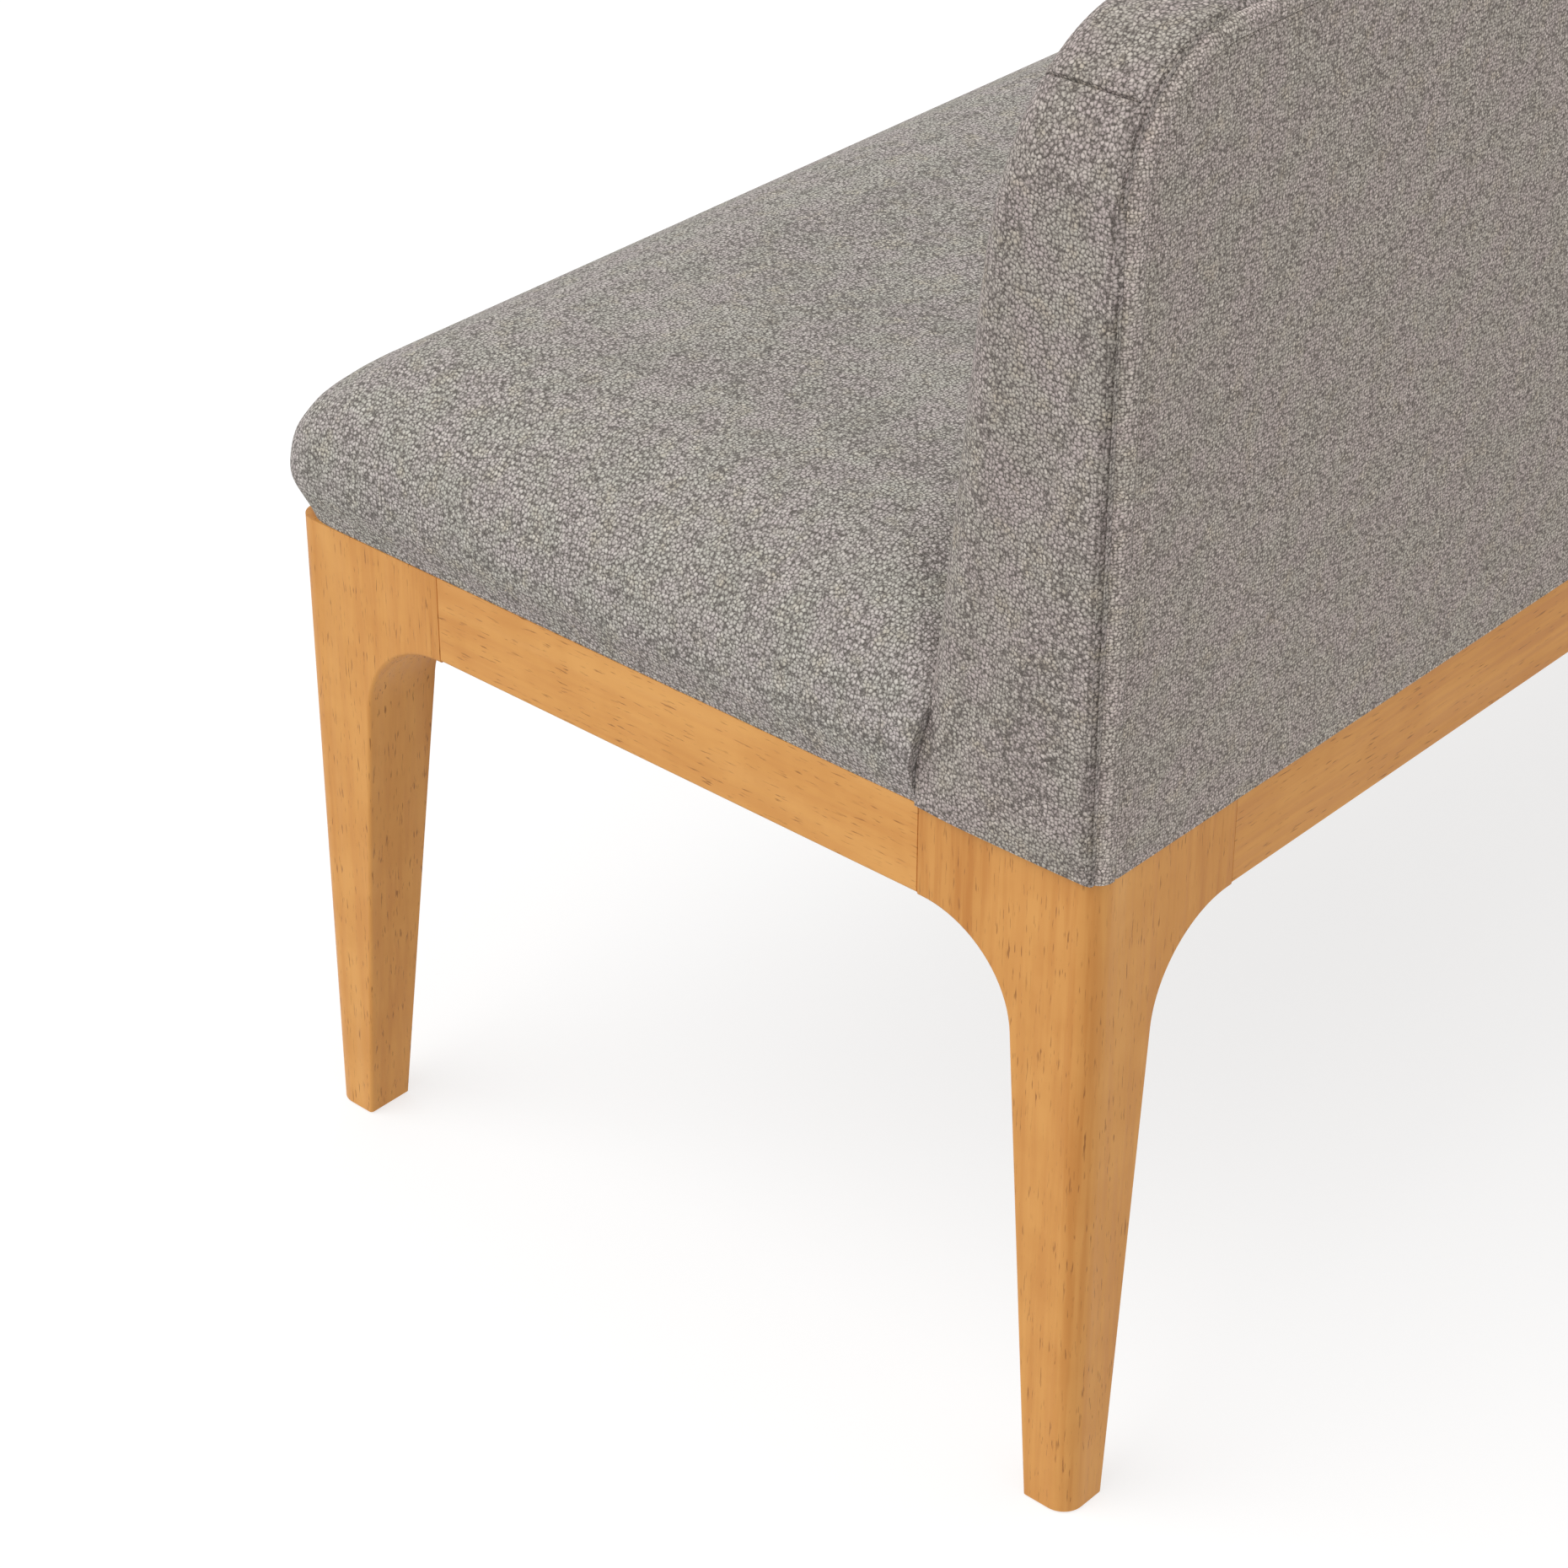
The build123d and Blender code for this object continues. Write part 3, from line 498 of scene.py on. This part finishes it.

# The covers are one cloth. Each cover's tint is painted light: it raises that cover's colour to make up
# for how the studio light falls on it.
nub_size = 0.0020
nub_disorder = 0.8
seat_painted_light = (1.23, 1.25, 1.24)
seat_cloth = nubby_cloth("seat_cloth", nub_size, nub_disorder, seat_painted_light)
cover_with(seat_cushion, seat_cloth)
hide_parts("seat_cover", "seat_wadding", "seat_foam")


# Dust cover: a black sheet of spun-bonded cloth that closes the underside of the seat.
# It is stapled flat to the seat frame and sags slightly between the boards.
def spun_bonded(name):
    finish, tree, place = new_finish(name)
    pressed = lay(tree, "TexVoronoi", Vector=place, Scale=620.0, Randomness=0.25).outputs["Distance"]
    fibre = mottle(tree, place, 900, 4)
    colour = blend_colour(
        tree, spread(tree, fibre, 0.35, 0.7), screen_colour(26, 26, 28), screen_colour(58, 57, 60)
    )
    height = combine(tree, "ADD", pressed, fibre)
    put_on(tree, colour, 0.88, height, 0.0003, 0.6)
    return finish


dust_low, dust_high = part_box("dust_cover")
dust_size = dust_high - dust_low
dust_middle = (dust_low + dust_high) / 2
dust_lift = 0.0002
dust_sag = 0.0035
dust_thickness = 0.0005
dust_middle.z = dust_low.z + dust_lift
bpy.ops.object.select_all(action="DESELECT")
bpy.ops.mesh.primitive_grid_add(x_subdivisions=96, y_subdivisions=32, size=1, location=dust_middle)
dust_sheet = bpy.context.object
dust_sheet.name = "dust_sheet"
bpy.ops.transform.resize(value=(dust_size.x, dust_size.y, 1), center_override=dust_middle)
bpy.ops.object.transform_apply(location=True, rotation=True, scale=True)
bay_edges = ((-0.632, -0.262), (-0.198, 0.198), (0.262, 0.632))
bay_front_y = -0.194
bay_rear_y = 0.095
for vertex in dust_sheet.data.vertices:
    across = (vertex.co.y - bay_front_y) / (bay_rear_y - bay_front_y)
    for bay_start, bay_end in bay_edges:
        along = (vertex.co.x - bay_start) / (bay_end - bay_start)
        if 0 < along < 1 and 0 < across < 1:
            vertex.co.z -= dust_sag * sin(pi * along) * sin(pi * across)
apply_modifier(dust_sheet, "SOLIDIFY", thickness=dust_thickness, offset=1.0)
cover_with(dust_sheet, spun_bonded("spun_bonded"))
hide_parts("dust_cover")


# Brackets, screws, bolts, washers and staples: pressed and turned steel with a bright zinc coat.
# The brackets are screwed to the rails and to the seat frame, and hold the seat down.
def zinc_coat(name):
    finish, tree, place = new_finish(name)
    spangle = mottle(tree, place, 240, 3)
    colour = blend_colour(
        tree, spread(tree, spangle, 0.3, 0.7), screen_colour(168, 172, 178), screen_colour(205, 207, 208)
    )
    shader = put_on(tree, colour, spread(tree, spangle, 0.3, 0.7, 0.28, 0.45), spangle, 0.00005, 0.3)
    shader.inputs["Metallic"].default_value = 1.0
    return finish


zinc = zinc_coat("zinc_coat")
dress(zinc, "dust_cover_staples", "seat_brackets", "bracket_screws")

# Back frame: two rails, two stiles with rounded top corners and four posts, all of pale timber.
# The posts run down inside the rear rail, are screwed to the back's rails and bolted to the rear rail.
dress(timber_along_length, "back_bottom_rail", "back_top_rail")
dress(timber_upright, "back_stile_left", "back_stile_right")
dress(
    timber_upright,
    "back_post_end_left",
    "back_post_middle_left",
    "back_post_middle_right",
    "back_post_end_right",
)
dress(zinc, "post_screws", "post_bolts", "post_washers")


# Rail inserts: threaded brass sleeves set in the inner face of the rear rail for the post bolts.
# They are turned from bar, so the metal is bright with fine rings.
def turned_brass(name):
    finish, tree, place = new_finish(name)
    rings = mottle(tree, stretched(tree, place, (1, 6, 1)), 300, 2)
    colour = blend_colour(
        tree, spread(tree, rings, 0.3, 0.7), screen_colour(184, 150, 84), screen_colour(214, 184, 116)
    )
    shader = put_on(tree, colour, 0.35, rings, 0.00005, 0.3)
    shader.inputs["Metallic"].default_value = 1.0
    return finish


dress(turned_brass("turned_brass"), "rail_inserts")


# Back board: a thin sheet of brown hardboard glued and tacked to the front of the posts.
# The foam of the back is glued to its smooth face.
def hardboard(name):
    finish, tree, place = new_finish(name)
    fibre = mottle(tree, place, 380, 5)
    colour = blend_colour(
        tree, spread(tree, fibre, 0.3, 0.7), screen_colour(112, 80, 52), screen_colour(154, 116, 78)
    )
    put_on(tree, colour, 0.7, fibre, 0.0002, 0.4)
    return finish


dress(hardboard("hardboard"), "back_board")

# Back cushion: foam on the back board, a strip of foam round the frame, and the same nubby cloth.
# The cloth covers the front, the ends and the top. A seam crosses it at each rounded top corner.
# It leans back a little in front, and the seat is pressed against its foot.
back_half_length = 0.702
back_top = 0.780
rear_wood_y = 0.272
back_seam_turn = radians(40)
back_rear_edge = 0.012
back_turn_y = 0.262
back_seam_y = back_turn_y + back_rear_edge * sin(back_seam_turn)
back_seam_in = back_rear_edge * (1 - cos(back_seam_turn))
back_level = 0.580
back_side_depth = 0.0535
back_edge_depth = 0.049
back_end_reach = 0.097
back_top_reach = 0.178
back_edge_power = 5.0
back_top_power = 2.4
back_corner = 0.072
back_lean = radians(7)
back_travel = 0.003
back_foot_top = 0.402
back_foot_run_out = 0.448


def back_outline(depth, lean, end_in, top_in, corner):
    """One upright section of the back, its top corners rounded and its foot at the full width."""
    y = rear_wood_y - depth
    high = back_top - top_in
    half = back_half_length - end_in
    middle = (0, y, (back_foot_run_out + high) / 2)
    bpy.ops.mesh.primitive_plane_add(size=1, location=middle, rotation=(pi / 2, 0, 0))
    bpy.ops.transform.resize(value=(2 * half, 1, high - back_foot_run_out), center_override=middle)
    here = lambda place: abs(place.y - y) < 1e-6
    pick(lambda place: here(place) and place.z > middle[2])
    bpy.ops.mesh.bevel(offset=corner, segments=14, affect="VERTICES")
    pick(lambda place: here(place) and place.z < back_foot_run_out + 1e-6)
    drop = (0, 0, back_foot_top - back_foot_run_out)
    bpy.ops.mesh.extrude_region_move(TRANSFORM_OT_translate={"value": drop})
    widen = back_half_length / half
    bpy.ops.transform.resize(value=(widen, 1, 1), center_override=(0, y, back_foot_top))
    drop = (0, 0, rail_top - behind_cut - back_foot_top)
    bpy.ops.mesh.extrude_region_move(TRANSFORM_OT_translate={"value": drop})
    pick(here)
    bpy.ops.mesh.dissolve_faces()
    pick(here)
    bpy.ops.mesh.delete(type="ONLY_FACE")
    pick(here)
    bpy.ops.transform.rotate(value=lean, orient_axis="X", center_override=(0, y, back_level))


def sew_in(piece, region, point, normal, steps):
    """Draw a seam into a soft piece: cut lines beside a plane, and move each along its normal."""
    normal = Vector(normal).normalized()
    bpy.context.view_layer.objects.active = piece
    bpy.ops.object.mode_set(mode="EDIT")
    bpy.ops.mesh.select_mode(type="VERT")
    for offset, _ in steps:
        pick(region)
        bpy.ops.mesh.bisect(plane_co=Vector(point) + normal * offset, plane_no=normal)
    bpy.ops.object.mode_set(mode="OBJECT")
    moved = {}
    for vertex in piece.data.vertices:
        beside = (vertex.co - Vector(point)).dot(normal)
        for offset, rise in steps:
            if region(vertex.co) and abs(beside - offset) < 1e-5:
                moved[vertex.index] = vertex.co + vertex.normal * rise
    for index, place in moved.items():
        piece.data.vertices[index].co = place


seam_depth = 0.0005
cross_seam_turn = radians(39)
cross_seam_x = 0.600
cross_seam_z = 0.670
cross_seam_front_y = 0.172
cross_seam_rear_y = 0.264
cross_seam_steps = (
    (-0.004, 0.0006),
    (-0.0012, -0.0002),
    (0.0, -0.0024),
    (0.0012, -0.0002),
    (0.004, 0.0006),
)
rear_seam_front_y = 0.240
rear_seam_foot = 0.0005
back_corner_loss = 0.3
back_unevenness = 0.001
back_held_foot = 0.014
back_held_rear = 0.014
back_wall = 0.0138
back_pocket_y = 0.214
crease_level = 0.425
crease_end_level = 0.480
crease_y = 0.165
crease_depth = 0.010
back_cushion = start_piece("back_cushion")
back_outline(rear_wood_y - back_turn_y - behind_cut, 0, 0, 0, back_corner)
for across, up in shoulder(back_edge_power, (0, 6, 18, 36, 52, 66, 79, 90)):
    top_across = 1 - (1 - up**back_top_power) ** (1 / back_top_power)
    back_outline(
        back_side_depth + (back_edge_depth - back_travel) * up,
        back_lean * up,
        back_end_reach * across,
        back_top_reach * top_across,
        back_corner - back_corner_loss * back_end_reach * across,
    )
close_sections()
fill_cover(
    back_cushion,
    lambda place: place[2] < rail_top - back_held_foot or place[1] > back_turn_y + back_held_rear,
    back_travel,
    back_unevenness,
)
for vertex in back_cushion.data.vertices:
    risen = (vertex.co.z - crease_level) / (crease_end_level - crease_level)
    limit = crease_y - crease_depth * max(risen, 0)
    if risen < 1 and vertex.co.y < limit:
        vertex.co.y = limit


def at_cross_seam(place, side):
    """Whether a point lies at the top corner of one end, between the front and the rear seam."""
    high = place.x * side > cross_seam_x and place.z > cross_seam_z
    return high and cross_seam_front_y < place.y < cross_seam_rear_y


for side in (-1, 1):
    sew_in(
        back_cushion,
        lambda place: at_cross_seam(place, side),
        (side * (back_half_length - back_corner), 0, back_top - back_corner),
        (side * sin(cross_seam_turn), 0, -cos(cross_seam_turn)),
        cross_seam_steps,
    )
rear_seam_steps = []
for quarter in range(5):
    turn = back_seam_turn * quarter / 4
    sink = seam_depth if quarter == 4 else 0
    rear_seam_steps.append((back_rear_edge * sin(turn), -back_rear_edge * (1 - cos(turn)) - sink))
sew_in(
    back_cushion,
    lambda place: place.y > rear_seam_front_y and place.z > rail_top + rear_seam_foot,
    (0, back_turn_y, 0),
    (0, 1, 0),
    rear_seam_steps,
)
trim(back_cushion, (0, back_seam_y, 0), (0, -1, 0))
bpy.ops.object.mode_set(mode="EDIT")
pick(lambda place: place.y > back_seam_y - 1e-5)
bpy.ops.mesh.inset(thickness=back_wall - back_seam_in, use_even_offset=False)
pocket_run = (0, back_pocket_y - back_seam_y, 0)
bpy.ops.mesh.extrude_region_move(TRANSFORM_OT_translate={"value": pocket_run})
bpy.ops.object.mode_set(mode="OBJECT")
trim(back_cushion, (0, 0, rail_top), (0, 0, 1))
# The back's tint is painted light, as the seat's is.
back_painted_light = (1.16, 1.13, 1.11)
back_cloth = nubby_cloth("back_cloth", nub_size, nub_disorder, back_painted_light)
cover_with(back_cushion, back_cloth)
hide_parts("back_cover", "back_foam", "back_edge_foam")

# Outside back panel: a flat piece of the same cloth that closes the back of the frame.
# Its edge is folded over the rounded rear edge and sewn to the cover, and is a little proud there.
# A second line of stitching, inside the fold, draws the cloth down into a shallow groove.
panel_rear_y = back_turn_y + back_rear_edge
panel_thickness = 0.0016
panel_spare = 0.040
panel_low = rail_top - panel_spare
fold_lip = 0.0008
groove_in = 0.0132
groove_width = 0.0014
panel_border = 0.0120
panel_middle = (0, back_turn_y, (panel_low + back_top) / 2)
panel = start_piece("outside_panel")
bpy.ops.mesh.primitive_plane_add(size=1, location=panel_middle, rotation=(pi / 2, 0, 0))
bpy.ops.transform.resize(
    value=(2 * back_half_length, 1, back_top - panel_low), center_override=panel_middle
)
pick(lambda place: place.z > back_level)
bpy.ops.mesh.bevel(offset=back_corner, segments=20, affect="VERTICES")
bpy.ops.mesh.select_all(action="SELECT")
bpy.ops.mesh.extrude_region_move(TRANSFORM_OT_translate={"value": (0, back_rear_edge, 0)})
bpy.ops.mesh.select_all(action="SELECT")
bpy.ops.mesh.normals_make_consistent(inside=False)
pick(lambda place: place.y > panel_rear_y - 1e-6)
bpy.ops.mesh.bevel(offset=back_rear_edge * 0.999, segments=12, affect="EDGES")
pick(lambda place: place.y > panel_rear_y - 1e-5)
bpy.ops.mesh.inset(thickness=groove_in - back_rear_edge)
bpy.ops.mesh.inset(thickness=groove_width)
bpy.ops.mesh.inset(thickness=panel_border)
bpy.ops.mesh.select_all(action="SELECT")
bpy.ops.mesh.bisect(plane_co=(0, back_seam_y, 0), plane_no=(0, 1, 0), clear_inner=True)
bpy.ops.mesh.select_all(action="SELECT")
bpy.ops.mesh.bisect(plane_co=(0, 0, rail_top), plane_no=(0, 0, 1), clear_inner=True)
bpy.ops.object.mode_set(mode="OBJECT")


def inside_by(place):
    """How far a point lies inside the panel's outline."""
    past_end = abs(place.x) - (back_half_length - back_corner)
    past_top = place.z - (back_top - back_corner)
    if past_end > 0 and past_top > 0:
        return back_corner - hypot(past_end, past_top)
    return min(back_corner - past_end, back_corner - past_top)


rise_at = (
    back_seam_in,
    back_seam_in + fold_lip,
    0.006,
    0.009,
    0.012,
    groove_in,
    groove_in + groove_width,
)
rises = (-0.0004, 0.0003, 0.0007, 0.0007, 0.0003, -0.0010, 0.0)
risen = [
    vertex.co + vertex.normal * np.interp(inside_by(vertex.co), rise_at, rises)
    for vertex in panel.data.vertices
]
for vertex, place in zip(panel.data.vertices, risen):
    vertex.co = place
apply_modifier(panel, "SOLIDIFY", thickness=panel_thickness, offset=-1.0)
panel_nub_size = 0.0017
panel_nub_disorder = 0.6
# The panel's tint is painted light. It is much paler than the back's, though the cloth is the same.
panel_painted_light = (1.51, 1.46, 1.42)
panel_cloth = nubby_cloth("panel_cloth", panel_nub_size, panel_nub_disorder, panel_painted_light)
cover_with(panel, panel_cloth)
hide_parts("outside_back_panel")


# Topstitches: the second line of stitching round the panel, in a thick thread of the cloth's colour.
# Each stitch is a short twisted length of thread that lies in the groove it has drawn.
def twisted_thread(name):
    finish, tree, place = new_finish(name)
    ply = mottle(tree, place, 1500, 2)
    colour = blend_colour(
        tree, spread(tree, ply, 0.35, 0.65), screen_colour(112, 104, 98), screen_colour(168, 159, 150)
    )
    put_on(tree, colour, 0.7, ply, 0.0002, 0.6)
    return finish


stitch_pitch = 0.0038
stitch_size = (0.0030, 0.0010, 0.0008)
stitch_sink = 0.0005
groove_half = back_half_length - groove_in
groove_top = back_top - groove_in
groove_corner = back_corner - groove_in
groove_side = groove_top - groove_corner - rail_top
groove_quarter = groove_corner * pi / 2
groove_across = 2 * (groove_half - groove_corner)


def along_groove(run):
    """Where the groove is after a run up one end, over the top and down the other, with its way out."""
    end = 1
    if run > groove_side + groove_quarter + groove_across / 2:
        end = -1
        run = 2 * (groove_side + groove_quarter) + groove_across - run
    if run < groove_side:
        return Vector((end * groove_half, 0, rail_top + run)), Vector((end, 0, 0))
    turn = (run - groove_side) / groove_corner
    if turn < pi / 2:
        out = Vector((end * cos(turn), 0, sin(turn)))
        middle = Vector((end * (groove_half - groove_corner), 0, groove_top - groove_corner))
        return middle + out * groove_corner, out
    past = run - groove_side - groove_quarter
    return Vector((end * (groove_half - groove_corner - past), 0, groove_top)), Vector((0, 0, 1))


bpy.ops.object.select_all(action="DESELECT")
bpy.ops.mesh.primitive_uv_sphere_add(segments=8, ring_count=5, radius=0.5, location=(0, 0, 0))
stitch = bpy.context.object
bpy.ops.transform.resize(value=stitch_size)
bpy.ops.object.transform_apply(location=True, rotation=True, scale=True)
groove_length = 2 * (groove_side + groove_quarter) + groove_across
stitch_count = int(groove_length / stitch_pitch)
laid = []
for index in range(stitch_count):
    place, out = along_groove((index + 0.5) * groove_length / stitch_count)
    place.y = panel_rear_y - stitch_sink
    face = Vector((0, 1, 0))
    along = Vector((-out.z, 0, out.x))
    turned = Matrix((along, face.cross(along), face)).transposed().to_4x4()
    copy = stitch.copy()
    copy.data = stitch.data.copy()
    copy.data.transform(Matrix.Translation(place) @ turned)
    bpy.context.scene.collection.objects.link(copy)
    laid.append(copy)
bpy.data.objects.remove(stitch)
bpy.ops.object.select_all(action="DESELECT")
for copy in laid:
    copy.select_set(True)
stitches = laid[0]
bpy.context.view_layer.objects.active = stitches
bpy.ops.object.join()
stitches.name = "panel_stitches"
cover_with(stitches, twisted_thread("twisted_thread"))


# The setting: a plain pale floor, soft studio light from the front of the seen end, and the camera.
# The floor shows white where no shadow falls on it.
def white_where_seen(tree):
    """One for rays from the camera and for what metal or glass shows, nought for the rest."""
    path = tree.nodes.new("ShaderNodeLightPath").outputs
    seen = combine(tree, "MAXIMUM", path["Is Camera Ray"], path["Is Glossy Ray"])
    return combine(tree, "MAXIMUM", seen, path["Is Transmission Ray"])


bpy.ops.object.select_all(action="DESELECT")
bpy.ops.mesh.primitive_plane_add(size=14, location=(0, 0, 0))
floor = bpy.context.object
floor.name = "floor"
floor_finish = bpy.data.materials.new("pale_floor")
floor_finish.use_nodes = True
floor_tree = floor_finish.node_tree
floor_tree.nodes.remove(floor_tree.nodes["Principled BSDF"])
floor_shade = 0.35
floor_glow_seen = 0.70
floor_glow_cast = 0.35
floor_base = lay(floor_tree, "BsdfDiffuse", Color=(floor_shade, floor_shade, floor_shade, 1.0))
floor_more = combine(
    floor_tree, "MULTIPLY", white_where_seen(floor_tree), floor_glow_seen - floor_glow_cast
)
floor_glow = lay(
    floor_tree, "Emission", Strength=combine(floor_tree, "ADD", floor_more, floor_glow_cast)
)
floor_sum = floor_tree.nodes.new("ShaderNodeAddShader")
floor_tree.links.new(floor_base.outputs["BSDF"], floor_sum.inputs[0])
floor_tree.links.new(floor_glow.outputs["Emission"], floor_sum.inputs[1])
floor_tree.links.new(floor_sum.outputs["Shader"], floor_tree.nodes["Material Output"].inputs["Surface"])
floor.data.materials.append(floor_finish)

studio = bpy.data.worlds.new("studio")
bpy.context.scene.world = studio
studio.use_nodes = True
studio_light = 0.75
studio_seen = white_where_seen(studio.node_tree)
studio_strength = combine(
    studio.node_tree,
    "ADD",
    combine(studio.node_tree, "MULTIPLY", studio_seen, 1.0 - studio_light),
    studio_light,
)
studio.node_tree.nodes["Background"].inputs["Color"].default_value = (1.0, 1.0, 1.0, 1.0)
studio.node_tree.links.new(studio_strength, studio.node_tree.nodes["Background"].inputs["Strength"])

key_from = Vector((1.0, -0.55, 1.5))
bpy.ops.object.light_add(type="SUN", location=key_from * 2)
key = bpy.context.object
key.name = "key_light"
key.rotation_euler = key_from.to_track_quat("Z", "Y").to_euler()
key.data.energy = 1.2
key.data.angle = radians(50)

camera_place = Vector((1.9373, 1.1940, 1.3986))
camera_aim = Vector((-0.6301, -0.5665, -0.5310))
bpy.ops.object.camera_add(location=camera_place, rotation=camera_aim.to_track_quat("-Z", "Y").to_euler())
camera = bpy.context.object
camera.data.sensor_width = 36.0
camera.data.lens = 93.6
camera.data.clip_start = 0.05
camera.data.clip_end = 60.0
bpy.context.scene.camera = camera
bpy.context.scene.view_settings.view_transform = "Standard"
